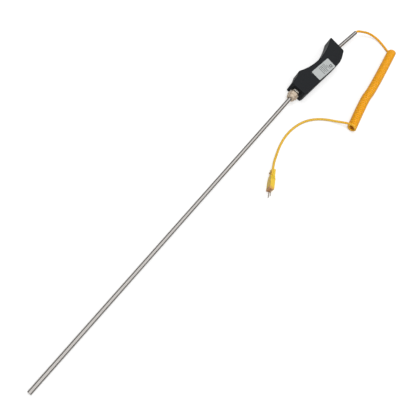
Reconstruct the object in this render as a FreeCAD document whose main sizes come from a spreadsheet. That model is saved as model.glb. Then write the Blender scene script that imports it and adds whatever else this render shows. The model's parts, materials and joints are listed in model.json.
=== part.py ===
import FreeCAD, Part
import Sketcher

import math
import os
import re

# Soil thermometer probe: a long stainless stem with a thermocouple at its tip, held by a
# compression gland in a two-shell grip, with a curly lead and a flat two-blade plug.
#
# Working frame of the rigid pieces ("grip frame"): X runs along the stem towards its tip, Z is up,
# and the origin is where the stem's axis crosses the grip's front wall. The shells meet on Z = 0.
# The finished part lies on a table: its stem tip and the grip's front bottom edge both touch
# Z = 0 of the part's own frame, so the rigid pieces share one small tilt. The lead lies on Z = 0.

V = FreeCAD.Vector
doc = FreeCAD.newDocument("soil_thermometer_probe")

# ---------------------------------------------------------------------------------------------
# Driving sizes, in millimetres (angles in degrees)
# ---------------------------------------------------------------------------------------------
SIZES = [
    # clearances
    ("seat_gap", 0.05),            # between pieces that are assembled and stay still
    ("turn_gap", 0.08),            # radial play of the turning nut and the sliding ring
    ("free_gap", 0.35),            # room round the stem where nothing should rub
    ("overshoot", 1.0),            # how far a cutting tool passes the faces it cuts
    ("trimmer_length", 5.0),
    # stem
    ("stem_diameter", 7.0),
    ("stem_length", 609.6),        # from the nut's face to the tip
    ("sheath_wall", 0.9),
    ("sheath_inside", 30.0),       # length of sheath behind the grip's front face
    ("tip_cap", 2.5),
    ("tip_round", 0.6),
    ("tip_spigot", 3.0),
    ("bead_radius", 1.5),
    ("bead_setback", 2.5),         # from the spigot's end to the bead's centre
    ("wire_diameter", 0.8),
    ("wire_spacing", 2.1),
    ("wire_tail", 26.0),           # bare wire behind the sheath
    ("seal_length", 8.0),
    # gland
    ("gasket_thickness", 0.8),
    ("gasket_lip", 0.4),           # gasket edge outside the flange
    ("flange_thickness", 3.8),
    ("flange_flats", 16.0),
    ("thread_diameter", 12.0),
    ("thread_lead", 0.6),          # chamfer at each end of the thread
    ("corner_flat", 0.15),         # hexagon corners: chamfer start, rise and run
    ("corner_rise", 1.9),
    ("corner_run", 1.0),
    ("neck_end", 13.0),            # front end of the threaded neck, from the grip
    ("seat_mouth", 10.0),          # diameter of the cone seat at the neck's end
    ("seat_depth", 2.8),
    ("locknut_thickness", 4.0),
    ("locknut_flats", 17.0),
    ("thread_tail", 2.0),          # thread that shows behind the locknut
    ("nut_flats", 16.0),
    ("nut_start", 7.0),
    ("nut_hex", 6.5),
    ("nut_end", 19.5),
    ("dome_round", 4.2),
    ("dome_step", 0.2),            # dome edge inside the nut's flats
    ("nut_lip", 4.4),              # thickness of the nut's closed front
    ("ring_diameter", 9.8),
    ("ring_setback", 0.1),         # between the ring's face and the nut's closed front
    # grip
    ("grip_length", 135.8),        # front wall to rear wall, along the stem
    ("grip_thickness", 25.0),
    ("grip_wall", 2.2),
    ("face_wall", 2.4),
    ("edge_round", 1.6),
    ("front_half", 14.9),
    ("neck_at", 19.0),
    ("neck_half", 16.4),
    ("shoulder_at", 30.5),
    ("shoulder_half", 19.8),
    ("waist_reach", 3.0),          # how far the waist's two slopes would meet past the stem's line
    ("cheek_at", 4.5),
    ("cheek_half", 17.1),
    ("palm_from_rear", 25.1),
    ("palm_half", 25.2),
    ("palm_radius", 52.0),
    ("bend_angle", 5.94),          # the rear of the grip turns away from the stem's line
    ("outlet_offset", 3.7),
    ("rear_near", 22.4),
    ("rear_far", 12.4),
    ("rear_round", 5.0),
    ("corner_margin", 0.4),        # outline corners are this much larger than the edge rounding
    ("boss_diameter", 6.6),
    ("boss_bite", 0.6),            # how far a boss stands in the wall
    ("boss_front_room", 1.0),      # between the gland's tail and the front bosses
    ("boss_front_side", 1.2),
    ("boss_rear_side", 3.2),
    ("boss_near_back", 8.0),       # from the rear outlet to the two rear bosses
    ("boss_far_back", 13.0),
    ("cradle_thickness", 3.0),
    ("cradle_width", 13.0),
    ("front_cradle_at", 20.0),
    ("rear_cradle_at", 18.5),
    # shell screws
    ("screw_diameter", 2.9),
    ("screw_head", 5.4),
    ("screw_head_height", 2.2),
    ("screw_sink", 1.0),
    ("screw_grip", 6.4),           # thread length in the upper shell
    ("pilot_extra", 0.6),          # pilot hole beyond the screw's end
    ("slot_share", 0.7),           # recess arm, as a share of the head
    ("slot_width", 0.7),
    ("slot_depth", 1.1),
    # label
    ("label_length", 48.0),
    ("label_width", 20.4),
    ("label_thickness", 0.6),
    ("label_recess", 0.4),
    ("label_round", 1.8),
    ("label_at", 69.1),
    ("label_offset", 10.6),
    # guide tube for the lead
    ("tube_exposed", 64.0),
    ("tube_inside", 28.0),
    ("tube_wall", 0.9),
    ("collar_diameter", 10.5),
    ("collar_width", 2.5),
    ("mouth_straight", 13.0),      # lead that leaves the tube in a straight line
    # lead
    ("lead_diameter", 4.2),
    ("lead_inside", 44.0),
    ("tie_width", 3.4),
    ("tie_thickness", 1.5),
    ("tie_head", 4.4),
    ("tie_gap", 0.3),
    ("core_diameter", 0.9),
    ("splice_length", 12.0),
    ("splice_diameter", 1.9),
    ("splice_bore", 1.24),
    ("splice_gap", 20.0),          # from the sheath's end to the splice's front end
    ("coil_diameter", 17.0),
    # plug
    ("plug_length", 25.4),
    ("plug_width", 16.3),
    ("plug_thickness", 7.9),
    ("plug_split", 0.6),           # height of the joint above the blades' middle
    ("plug_wall", 1.6),
    ("plug_neck", 9.6),
    ("plug_taper", 7.5),
    ("plug_round", 1.2),
    ("plug_face", 1.5),            # floor and roof thickness of the plug
    ("nose_length", 5.0),          # solid front of the plug that holds the blades
    ("lead_in_plug", 1.0),         # lead inside the plug's rear wall
    ("tongue_step", 0.3),
    ("tongue_drop", 0.1),
    ("seat_margin", 0.5),
    ("seat_bite", 0.2),            # how far a blade seat stands in the floor
    ("small_slot", 0.5),
    ("core_spread", 0.7),
    ("core_overrun", 1.0),
    ("blade_length", 11.0),
    ("blade_inside", 11.0),
    ("blade_thickness", 0.8),
    ("blade_pitch", 7.9),
    ("blade_narrow", 2.4),
    ("blade_wide", 3.2),
    ("terminal_head", 3.6),
    ("terminal_shank", 2.0),
    ("terminal_height", 1.0),
    ("terminal_back", 8.6),        # from the plug's front face to the terminal screws
    ("lid_screw_back", 3.2),
    ("lid_screw_head", 3.6),
    ("lid_screw_shank", 2.0),
    ("lid_screw_height", 1.4),
    ("lid_screw_recess", 0.3),
    ("lid_slot_depth", 0.7),
    ("lid_slot_width", 0.6),
    ("clamp_length", 12.0),
    ("clamp_width", 9.4),
    ("clamp_thickness", 3.0),
    ("clamp_screw_pitch", 6.2),
    ("clamp_screw_shank", 1.6),
    ("clamp_screw_head", 2.6),
    ("clamp_screw_height", 1.1),
    ("clamp_screw_floor", 1.2),
    ("clamp_screw_bite", 0.5),
    ("clamp_slot_depth", 0.5),
    ("saddle_setback", 0.5),
    ("saddle_round", 0.8),
    ("saddle_edge_round", 0.7),
    ("plug_at_along", 67.0),
    ("plug_at_across", 56.0),
    ("plug_angle", 28.5),
]

sheet = doc.addObject("Spreadsheet::Sheet", "Sizes")
for row, (alias, number) in enumerate(SIZES, start=1):
    sheet.set(f"A{row}", alias)
    sheet.set(f"B{row}", str(number))
    sheet.setAlias(f"B{row}", alias)
doc.recompute()

ALIAS = re.compile(r"\b(" + "|".join(alias for alias, _ in SIZES) + r")\b")


def mm(alias):
    """Value of one named size, read back from the sheet."""
    return float(sheet.get(alias))


def tie(text):
    """Expression on the sheet, from a formula that uses the plain size names."""
    return ALIAS.sub(r"Sizes.\1", text)


# ---------------------------------------------------------------------------------------------
# Placements that several pieces share
# ---------------------------------------------------------------------------------------------
def lying_placement():
    """Puts the grip frame on the table: tip corner and front bottom edge both at Z = 0."""
    half, edge = mm("grip_thickness") / 2, mm("edge_round")
    radius, corner = mm("stem_diameter") / 2, mm("tip_round")
    tip = mm("nut_end") + mm("stem_length")
    run = tip - corner + edge
    drop = (half - edge) - (radius - corner)
    tilt = math.asin((edge - corner) / math.hypot(run, drop)) + math.atan2(drop, run)
    height = (half - edge) * math.cos(tilt) - edge * math.sin(tilt) + edge
    turn = FreeCAD.Rotation(V(0, 1, 0), math.degrees(tilt))
    back = mm("grip_length") + mm("tube_exposed") * math.cos(math.radians(mm("bend_angle")))
    return FreeCAD.Placement(V(-(tip - back) / 2, 0, height), turn)


LYING = lying_placement()

# Rear outlet: its own X runs outwards along the guide tube.
OUTLET = FreeCAD.Placement(
    V(-mm("grip_length"), mm("outlet_offset"), 0),
    FreeCAD.Rotation(V(0, 0, 1), 180 - mm("bend_angle")),
)

# Plug: X along the blades, Y across them, Z through its thickness. It stands on its narrow side.
plug_turn = math.radians(mm("plug_angle"))
PLUG_AXIS = V(math.cos(plug_turn), math.sin(plug_turn), 0)
PLUG_UP = V(0, 0, 1)
PLUG = FreeCAD.Placement(
    V(-mm("plug_at_along"), mm("plug_at_across"), mm("plug_width") / 2),
    FreeCAD.Rotation(PLUG_AXIS, PLUG_UP, PLUG_AXIS.cross(PLUG_UP), "XYZ"),
)

ALONG_X = FreeCAD.Rotation(V(0, 1, 0), 90)      # turns a primitive's own Z axis onto X
UPRIGHT = FreeCAD.Rotation()

nodes = []


def keep(piece, label, frame=LYING):
    """Names a finished sub-part, sets its place and lists it for export."""
    piece.Label = label
    piece.Placement = frame.multiply(piece.Placement)
    nodes.append(piece)
    return piece


# ---------------------------------------------------------------------------------------------
# Primitives and booleans bound to the sheet
# ---------------------------------------------------------------------------------------------
def rod(name, radius, length, at=V(0, 0, 0), turn=ALONG_X, frame=FreeCAD.Placement()):
    """Cylinder whose axis starts at a point of the given frame."""
    piece = doc.addObject("Part::Cylinder", name)
    piece.setExpression("Radius", tie(radius))
    piece.setExpression("Height", tie(length))
    piece.Placement = frame.multiply(FreeCAD.Placement(at, turn))
    return piece


def block(name, length, width, height, at, frame=FreeCAD.Placement()):
    """Box with one corner at a point of the given frame."""
    piece = doc.addObject("Part::Box", name)
    piece.setExpression("Length", tie(length))
    piece.setExpression("Width", tie(width))
    piece.setExpression("Height", tie(height))
    piece.Placement = frame.multiply(FreeCAD.Placement(at, UPRIGHT))
    return piece


def fuse(name, pieces):
    """One solid, or one group of separate solids, from several pieces."""
    if len(pieces) == 1:
        return pieces[0]
    joined = doc.addObject("Part::MultiFuse", name)
    joined.Shapes = pieces
    return joined


def cut(name, base, tools):
    """Base piece less every tool."""
    result = doc.addObject("Part::Cut", name)
    result.Base = base
    result.Tool = fuse(f"{name}_tools", tools)
    return result


def ring(name, outer, inner, length, at, turn=ALONG_X, frame=FreeCAD.Placement()):
    """Plain ring, from its outer and inner radius."""
    body = rod(f"{name}_outside", outer, length, at, turn, frame)
    bore = rod(f"{name}_bore", inner, length, at, turn, frame)
    return cut(name, body, [bore])


# ---------------------------------------------------------------------------------------------
# Sketches and features bound to the sheet
# ---------------------------------------------------------------------------------------------
def new_sketch(body, name, role, offset=None):
    """Sketch on one of the body's origin planes, moved along the plane's normal by a formula."""
    sketch = body.newObject("Sketcher::SketchObject", name)
    plane = next(item for item in body.Origin.OriginFeatures if item.Role == role)
    sketch.AttachmentSupport = [(plane, "")]
    sketch.MapMode = "FlatFace"
    if offset:
        sketch.setExpression("AttachmentOffset.Base.z", tie(offset))
    return sketch


def pin_point(sketch, shape, end, across, up):
    """Holds one point of a sketch at two formulas, measured from the sketch's origin."""
    for kind, formula in (("DistanceX", across), ("DistanceY", up)):
        index = sketch.addConstraint(Sketcher.Constraint(kind, -1, 1, shape, end, 1.0))
        sketch.setExpression(f"Constraints[{index}]", tie(formula))


def polygon(sketch, corners):
    """Closed outline of straight lines through points given as pairs of formulas."""
    count = len(corners)
    angles = [2 * math.pi * index / count for index in range(count)]
    rough = [V(10 + 5 * math.cos(angle), 10 + 5 * math.sin(angle), 0) for angle in angles]
    lines = [sketch.addGeometry(Part.LineSegment(rough[i], rough[(i + 1) % count]))
             for i in range(count)]
    for i, line in enumerate(lines):
        following = lines[(i + 1) % count]
        sketch.addConstraint(Sketcher.Constraint("Coincident", line, 2, following, 1))
    for line, (across, up) in zip(lines, corners):
        pin_point(sketch, line, 1, across, up)


def hexagon(sketch, flats):
    """Regular hexagon about the sketch's origin, from its width across flats."""
    corner = f"{flats} / 2 / cos(30 deg)"
    polygon(sketch, [(f"{corner} * cos({60 * k} deg)", f"{corner} * sin({60 * k} deg)")
                     for k in range(6)])


def revolve(body, name, corners, kind="PartDesign::Revolution"):
    """Full turn of a profile about X. Its corners are pairs: along the axis, radius."""
    sketch = new_sketch(body, f"{name}_profile", "XZ_Plane")
    polygon(sketch, corners)
    feature = body.newObject(kind, name)
    feature.Profile = sketch
    feature.ReferenceAxis = (sketch, ["H_Axis"])
    feature.Angle = 360
    doc.recompute()
    return feature


def groove(body, name, corners):
    """Removes a full turn of a profile about X."""
    return revolve(body, name, corners, "PartDesign::Groove")


def turned(name, corners):
    """Body turned from one profile about X."""
    body = doc.addObject("PartDesign::Body", name)
    revolve(body, f"{name}_turning", corners)
    return body


def pad(body, sketch, name, length, backwards=False):
    """Pads a sketch by a formula."""
    feature = body.newObject("PartDesign::Pad", name)
    feature.Profile = sketch
    feature.setExpression("Length", tie(length))
    feature.Reversed = backwards
    doc.recompute()
    return feature


def pocket(body, sketch, name, depth, backwards=False):
    """Pockets a sketch by a formula, and checks that it removed something."""
    doc.recompute()
    before = body.Shape.Volume
    feature = body.newObject("PartDesign::Pocket", name)
    feature.Profile = sketch
    feature.setExpression("Length", tie(depth))
    feature.Reversed = backwards
    doc.recompute()
    if body.Shape.Volume > before - 1e-6:
        raise RuntimeError(f"{name} removes nothing")
    return feature


def fillet_edges(body, name, chosen, radius):
    """Fillets the edges of the body's tip for which chosen(edge) is true."""
    doc.recompute()
    base = body.Tip
    names = [f"Edge{i}" for i, edge in enumerate(base.Shape.Edges, start=1) if chosen(edge)]
    feature = body.newObject("PartDesign::Fillet", name)
    feature.Base = (base, names)
    feature.setExpression("Radius", tie(radius))
    doc.recompute()
    return feature


# ---------------------------------------------------------------------------------------------
# Outlines with rounded corners
# ---------------------------------------------------------------------------------------------
def inset_corners(corners, inset):
    """Moves every side of a counter-clockwise outline inwards. A corner is (x, y, radius)."""
    count = len(corners)
    points = [V(x, y, 0) for x, y, _ in corners]
    moved = []
    for i in range(count):
        here, before, after = points[i], points[i - 1], points[(i + 1) % count]
        inward_in = V(0, 0, 1).cross((here - before).normalize())
        inward_out = V(0, 0, 1).cross((after - here).normalize())
        middle = (inward_in + inward_out).normalize()
        spot = here + middle * (inset / middle.dot(inward_in))
        convex = inward_in.cross(inward_out).z > 0
        radius = corners[i][2] - inset if convex else corners[i][2] + inset
        moved.append((spot.x, spot.y, max(radius, mm("seat_gap"))))
    return moved


def rounded_edges(corners):
    """Lines and tangent arcs of a closed outline. A corner is (x, y, radius)."""
    count = len(corners)
    points = [V(x, y, 0) for x, y, _ in corners]
    trimmed = []
    for i in range(count):
        here = points[i]
        to_last = (points[i - 1] - here).normalize()
        to_next = (points[(i + 1) % count] - here).normalize()
        half = to_last.getAngle(to_next) / 2
        reach = corners[i][2] / math.tan(half)
        centre = here + (to_last + to_next).normalize() * (corners[i][2] / math.sin(half))
        crown = centre + (here - centre).normalize() * corners[i][2]
        trimmed.append((here + to_last * reach, crown, here + to_next * reach))
    edges = []
    for i, (first, crown, last) in enumerate(trimmed):
        edges.append(Part.Arc(first, crown, last))
        edges.append(Part.LineSegment(last, trimmed[(i + 1) % count][0]))
    return edges


def outline_body(name, corners, depth, at="0", backwards=False):
    """Body padded from a rounded outline that lies parallel to XY at a height."""
    body = doc.addObject("PartDesign::Body", name)
    sketch = new_sketch(body, f"{name}_outline", "XY_Plane", at)
    draw_outline(sketch, corners)
    pad(body, sketch, f"{name}_pad", depth, backwards)
    return body


def draw_outline(sketch, corners):
    """Draws a rounded outline as joined lines and arcs, held where the sizes put them."""
    shapes = [sketch.addGeometry(edge) for edge in rounded_edges(corners)]
    for shape in shapes:
        sketch.addConstraint(Sketcher.Constraint("Block", shape))


def rectangle(x0, x1, y0, y1, radius):
    """Corners of a rounded rectangle."""
    return [(x0, y0, radius), (x1, y0, radius), (x1, y1, radius), (x0, y1, radius)]


# ---------------------------------------------------------------------------------------------
# Stem: sheath, welded tip, insulation, thermocouple and end seal
# ---------------------------------------------------------------------------------------------
TIP = "(nut_end + stem_length)"
SPIGOT_END = f"({TIP} - tip_cap - tip_spigot)"
BEAD_AT = f"({SPIGOT_END} - bead_setback)"
SHEATH_BORE = "(stem_diameter / 2 - sheath_wall)"
FILL = f"({SHEATH_BORE} - seat_gap)"


def tip_x():
    """Where the stem ends, along X."""
    return mm("nut_end") + mm("stem_length")


def bead_x():
    """Where the junction bead's centre lies, along X."""
    return tip_x() - mm("tip_cap") - mm("tip_spigot") - mm("bead_setback")


def wire_sides():
    """The two wire lines, as (name, offset across the stem)."""
    return [("positive", mm("wire_spacing") / 2), ("negative", -mm("wire_spacing") / 2)]


def build_stem():
    keep(turned("sheath", [
        ("-sheath_inside", SHEATH_BORE), ("-sheath_inside", "stem_diameter / 2"),
        (f"{TIP} - tip_cap", "stem_diameter / 2"), (f"{TIP} - tip_cap", SHEATH_BORE),
    ]), "sheath_tube")

    cap = turned("cap", [
        (SPIGOT_END, "0"), (SPIGOT_END, FILL), (f"{TIP} - tip_cap", FILL),
        (f"{TIP} - tip_cap", "stem_diameter / 2"), (TIP, "stem_diameter / 2"), (TIP, "0"),
    ])
    fillet_edges(cap, "cap_rounding",
                 lambda edge: edge.BoundBox.XMin > tip_x() - 1e-6 and edge.BoundBox.YLength > 1,
                 "tip_round")
    keep(cap, "tip_cap")

    back, seal = -mm("sheath_inside"), mm("seal_length")
    packing = rod("packing_bar", FILL, f"{BEAD_AT} - 2 * bead_radius + sheath_inside - seal_length",
                  V(back + seal, 0, 0))
    stopper = rod("stopper_bar", FILL, "seal_length", V(back, 0, 0))
    for bar, label in ((packing, "sheath_insulation"), (stopper, "sheath_end_seal")):
        holes = [rod(f"{label}_{side}", "wire_diameter / 2 + seat_gap", "stem_length + grip_length",
                     V(back, offset, 0)) for side, offset in wire_sides()]
        keep(cut(f"{label}_cut", bar, holes), label)

    tail = back - mm("wire_tail")
    for side, offset in wire_sides():
        wire = rod(f"wire_{side}_bar", "wire_diameter / 2",
                   f"{BEAD_AT} + sheath_inside + wire_tail", V(tail, offset, 0))
        keep(wire, f"thermocouple_wire_{side}")

    bead = doc.addObject("Part::Sphere", "bead_ball")
    bead.setExpression("Radius", tie("bead_radius"))
    bead.Placement = FreeCAD.Placement(V(bead_x(), 0, 0), UPRIGHT)
    sockets = [rod(f"bead_socket_{side}", "wire_diameter / 2", "2 * bead_radius",
                   V(bead_x() - 2 * mm("bead_radius"), offset, 0)) for side, offset in wire_sides()]
    keep(cut("bead_cut", bead, sockets), "junction_bead")


# ---------------------------------------------------------------------------------------------
# Gland: gasket, body, locknut, gripping ring and cap nut
# ---------------------------------------------------------------------------------------------
THREAD = "(thread_diameter / 2)"
RING_START = "(neck_end - seat_depth + 2 * free_gap)"
RING_BORE = "(stem_diameter / 2 + turn_gap)"
SHANK_END = "(grip_wall + locknut_thickness + thread_tail)"


def hex_body(name, start, length, flats):
    """Body that begins as a hexagonal bar along X."""
    body = doc.addObject("PartDesign::Body", name)
    sketch = new_sketch(body, f"{name}_hexagon", "YZ_Plane", start)
    hexagon(sketch, flats)
    pad(body, sketch, f"{name}_bar", length)
    return body


def break_corners(body, name, face, flats, direction):
    """Chamfers the six corners of a hexagonal bar at one end. Direction is + or -."""
    groove(body, name, [
        (face, f"{flats} / 2 + corner_flat"),
        (f"{face} {direction} corner_run", f"{flats} / 2 + corner_rise"),
        (f"{face} {direction} corner_run", flats), (face, flats),
    ])


def build_gland():
    keep(ring("gasket", "flange_flats / 2 + gasket_lip", f"{THREAD} + seat_gap", "gasket_thickness",
              V(0, 0, 0)), "gland_gasket")

    body = hex_body("gland", "gasket_thickness", "flange_thickness", "flange_flats")
    break_corners(body, "flange_corners", "(gasket_thickness + flange_thickness)", "flange_flats", "-")
    revolve(body, "gland_thread", [
        (f"-{SHANK_END}", "0"), (f"-{SHANK_END}", f"{THREAD} - thread_lead"),
        (f"-{SHANK_END} + thread_lead", THREAD), ("neck_end - thread_lead", THREAD),
        ("neck_end", f"{THREAD} - thread_lead"), ("neck_end", "0"),
    ])
    groove(body, "gland_bore", [
        (f"-{SHANK_END}", "0"), (f"-{SHANK_END}", "stem_diameter / 2 + seat_gap"),
        ("neck_end - seat_depth", "stem_diameter / 2 + seat_gap"),
        ("neck_end", "seat_mouth / 2"), ("neck_end", "0"),
    ])
    keep(body, "gland_body")

    locknut = hex_body("locknut", "-(grip_wall + locknut_thickness)", "locknut_thickness",
                       "locknut_flats")
    break_corners(locknut, "locknut_corners", "(-grip_wall - locknut_thickness)", "locknut_flats", "+")
    groove(locknut, "locknut_bore", [
        ("-grip_wall - locknut_thickness", "0"),
        ("-grip_wall - locknut_thickness", f"{THREAD} + seat_gap"),
        ("-grip_wall", f"{THREAD} + seat_gap"), ("-grip_wall", "0"),
    ])
    keep(locknut, "gland_locknut")

    # The ring's rear cone stays clear of the seat, as before the nut is pulled tight.
    keep(turned("ring", [
        (RING_START, RING_BORE), (RING_START, f"{RING_BORE} + turn_gap"),
        ("neck_end + 2 * free_gap", "ring_diameter / 2"),
        ("nut_end - nut_lip - ring_setback", "ring_diameter / 2"),
        ("nut_end - nut_lip - ring_setback", RING_BORE),
    ]), "gland_gripping_ring")

    nut = hex_body("nut", "nut_start", "nut_hex", "nut_flats")
    break_corners(nut, "nut_corners", "nut_start", "nut_flats", "+")
    revolve(nut, "nut_dome", [
        ("nut_start + nut_hex", "0"), ("nut_start + nut_hex", "nut_flats / 2 - dome_step"),
        ("nut_end", "nut_flats / 2 - dome_step"), ("nut_end", "0"),
    ])
    fillet_edges(nut, "nut_dome_rounding",
                 lambda edge: edge.BoundBox.XMin > mm("nut_end") - 1e-6 and edge.BoundBox.YLength > 1,
                 "dome_round")
    groove(nut, "nut_thread", [
        ("nut_start", "0"), ("nut_start", f"{THREAD} + turn_gap"),
        ("nut_end - nut_lip", f"{THREAD} + turn_gap"),
        ("nut_end - nut_lip", "stem_diameter / 2 + free_gap"),
        ("nut_end", "stem_diameter / 2 + free_gap"), ("nut_end", "0"),
    ])
    keep(nut, "gland_cap_nut")


# ---------------------------------------------------------------------------------------------
# Grip: two shells, screws, label plate
# ---------------------------------------------------------------------------------------------
def grip_corners():
    """Plan outline of the grip, clockwise from above, as (x, y, corner radius)."""
    small, rear = mm("edge_round") + mm("corner_margin"), mm("rear_round")
    rear_left = OUTLET.multVec(V(0, mm("rear_near"), 0))
    rear_right = OUTLET.multVec(V(0, -mm("rear_far"), 0))
    shoulder = V(-mm("shoulder_at"), -mm("shoulder_half"), 0)
    waist = V((shoulder.x + rear_left.x) / 2, mm("waist_reach"), 0)
    slope = min((waist - shoulder).Length, (waist - rear_left).Length) - 3 * small
    half_turn = (math.pi - (shoulder - waist).getAngle(rear_left - waist)) / 2
    return [
        (0, -mm("front_half"), small),
        (0, mm("front_half"), small),
        (-mm("cheek_at"), mm("cheek_half"), 3 * small),
        (mm("palm_from_rear") - mm("grip_length"), mm("palm_half"), mm("palm_radius")),
        (rear_right.x, rear_right.y, rear),
        (rear_left.x, rear_left.y, small),
        (waist.x, waist.y, slope / math.tan(half_turn)),
        (shoulder.x, shoulder.y, 2 * small),
        (-mm("neck_at"), -mm("neck_half"), 8 * small),
    ]


def boss_places():
    """Screw places in plan, each one boss radius inside the cavity wall near its corner."""
    reach = mm("boss_diameter") / 2 + mm("grip_wall") - mm("boss_bite")
    gland_tail = mm("grip_wall") + mm("locknut_thickness") + mm("thread_tail")
    front = mm("boss_diameter") / 2 + gland_tail + mm("boss_front_room")
    side = mm("front_half") + mm("boss_front_side") - reach
    rear_side = mm("boss_rear_side")
    near = OUTLET.multVec(V(-mm("boss_near_back"), mm("rear_near") - reach - rear_side, 0))
    far = OUTLET.multVec(V(-mm("boss_far_back"), -(mm("rear_far") - reach + rear_side), 0))
    return [V(-front, -side, 0), V(-front, side, 0), near, far]


def label_corners(margin):
    """Outline of the label plate or, with a margin, of its recess, about the plate's middle."""
    half_length = mm("label_length") / 2 + margin
    half_width = mm("label_width") / 2 + margin
    return rectangle(-half_length, half_length, -half_width, half_width, mm("label_round") + margin)


LABEL = FreeCAD.Placement(
    V(-mm("label_at"), mm("label_offset"), 0),
    FreeCAD.Rotation(V(0, 0, 1), -mm("bend_angle")),
)


def shell_body(name, upper):
    """One half of the grip: padded outline, rounded face edge, hollowed from the joint."""
    body = outline_body(name, grip_corners(), "grip_thickness / 2", backwards=not upper)
    face = mm("grip_thickness") / 2
    fillet_edges(body, f"{name}_edge",
                 lambda edge: min(abs(edge.BoundBox.ZMin), abs(edge.BoundBox.ZMax)) > face - 1e-6,
                 "edge_round")
    sketch = new_sketch(body, f"{name}_hollow_outline", "XY_Plane")
    draw_outline(sketch, inset_corners(grip_corners(), mm("grip_wall")))
    pocket(body, sketch, f"{name}_hollow", "grip_thickness / 2 - face_wall", backwards=upper)
    return body


def build_shell(name, upper):
    """Half shell with its bosses, cradles, bores and screw holes."""
    past = mm("overshoot")
    inner = mm("grip_thickness") / 2 - mm("face_wall")
    low = 0 if upper else -inner
    depth = "grip_thickness / 2 - face_wall"
    body = shell_body(name, upper)

    bosses = [rod(f"{name}_boss_{i}", "boss_diameter / 2", depth, V(place.x, place.y, low), UPRIGHT)
              for i, place in enumerate(boss_places())]
    half = mm("cradle_width") / 2
    front_cradle = block(f"{name}_front_cradle", "cradle_thickness", "cradle_width", depth,
                         V(-mm("front_cradle_at") - mm("cradle_thickness"), -half, low))
    rear_cradle = block(f"{name}_rear_cradle", "cradle_thickness", "cradle_width", depth,
                        V(-mm("rear_cradle_at") - mm("cradle_thickness"), -half, low), OUTLET)
    filled = fuse(f"{name}_filled", [body, *bosses, front_cradle, rear_cradle])

    tools = [
        rod(f"{name}_gland_hole", f"{THREAD} + seat_gap", "grip_wall + 2 * overshoot",
            V(-mm("grip_wall") - past, 0, 0)),
        rod(f"{name}_stem_cradle", "stem_diameter / 2 + seat_gap", "cradle_thickness + 2 * overshoot",
            V(-mm("front_cradle_at") - mm("cradle_thickness") - past, 0, 0)),
        rod(f"{name}_tube_hole", "stem_diameter / 2 + seat_gap",
            "rear_cradle_at + cradle_thickness + 2 * overshoot",
            V(-mm("rear_cradle_at") - mm("cradle_thickness") - past, 0, 0), ALONG_X, OUTLET),
    ]
    for i, place in enumerate(boss_places()):
        if upper:
            tools.append(rod(f"{name}_pilot_{i}", "screw_diameter / 2 + seat_gap", "screw_grip + pilot_extra",
                             V(place.x, place.y, 0), UPRIGHT))
        else:
            floor = -mm("grip_thickness") / 2
            tools.append(rod(f"{name}_clear_{i}", "screw_diameter / 2 + 3 * seat_gap", "grip_thickness",
                             V(place.x, place.y, floor), UPRIGHT))
            tools.append(rod(f"{name}_sink_{i}", "screw_head / 2 + 4 * seat_gap",
                             "screw_sink + screw_head_height", V(place.x, place.y, floor), UPRIGHT))
    if upper:
        recess = outline_body(f"{name}_label_recess", label_corners(2 * mm("seat_gap")),
                              "label_recess + overshoot", "grip_thickness / 2 - label_recess")
        recess.Placement = LABEL
        tools.append(recess)
    return cut(f"{name}_cut", filled, tools)


def build_screws():
    """Four pan-head screws from below, with cross recesses, as one group of solids."""
    floor = -mm("grip_thickness") / 2 + mm("screw_sink")
    screws = []
    for i, place in enumerate(boss_places()):
        head = rod(f"screw_head_{i}", "screw_head / 2", "screw_head_height",
                   V(place.x, place.y, floor), UPRIGHT)
        shank = rod(f"screw_shank_{i}", "screw_diameter / 2",
                    "grip_thickness / 2 - screw_sink + screw_grip", V(place.x, place.y, floor), UPRIGHT)
        reach = mm("slot_share") * mm("screw_head") / 2
        half = mm("slot_width") / 2
        slots = [
            block(f"screw_slot_{i}_a", "slot_share * screw_head", "slot_width", "slot_depth",
                  V(place.x - reach, place.y - half, floor)),
            block(f"screw_slot_{i}_b", "slot_width", "slot_share * screw_head", "slot_depth",
                  V(place.x - half, place.y - reach, floor)),
        ]
        screws.append(cut(f"screw_{i}", fuse(f"screw_blank_{i}", [head, shank]), slots))
    return fuse("screw_set", screws)


def build_grip():
    keep(build_shell("upper", True), "handle_upper_shell")
    keep(build_shell("lower", False), "handle_lower_shell")
    keep(build_screws(), "handle_screws")
    plate = outline_body("plate", label_corners(0), "label_thickness",
                         "grip_thickness / 2 - label_recess")
    plate.Placement = LABEL
    keep(plate, "label_plate")


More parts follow.
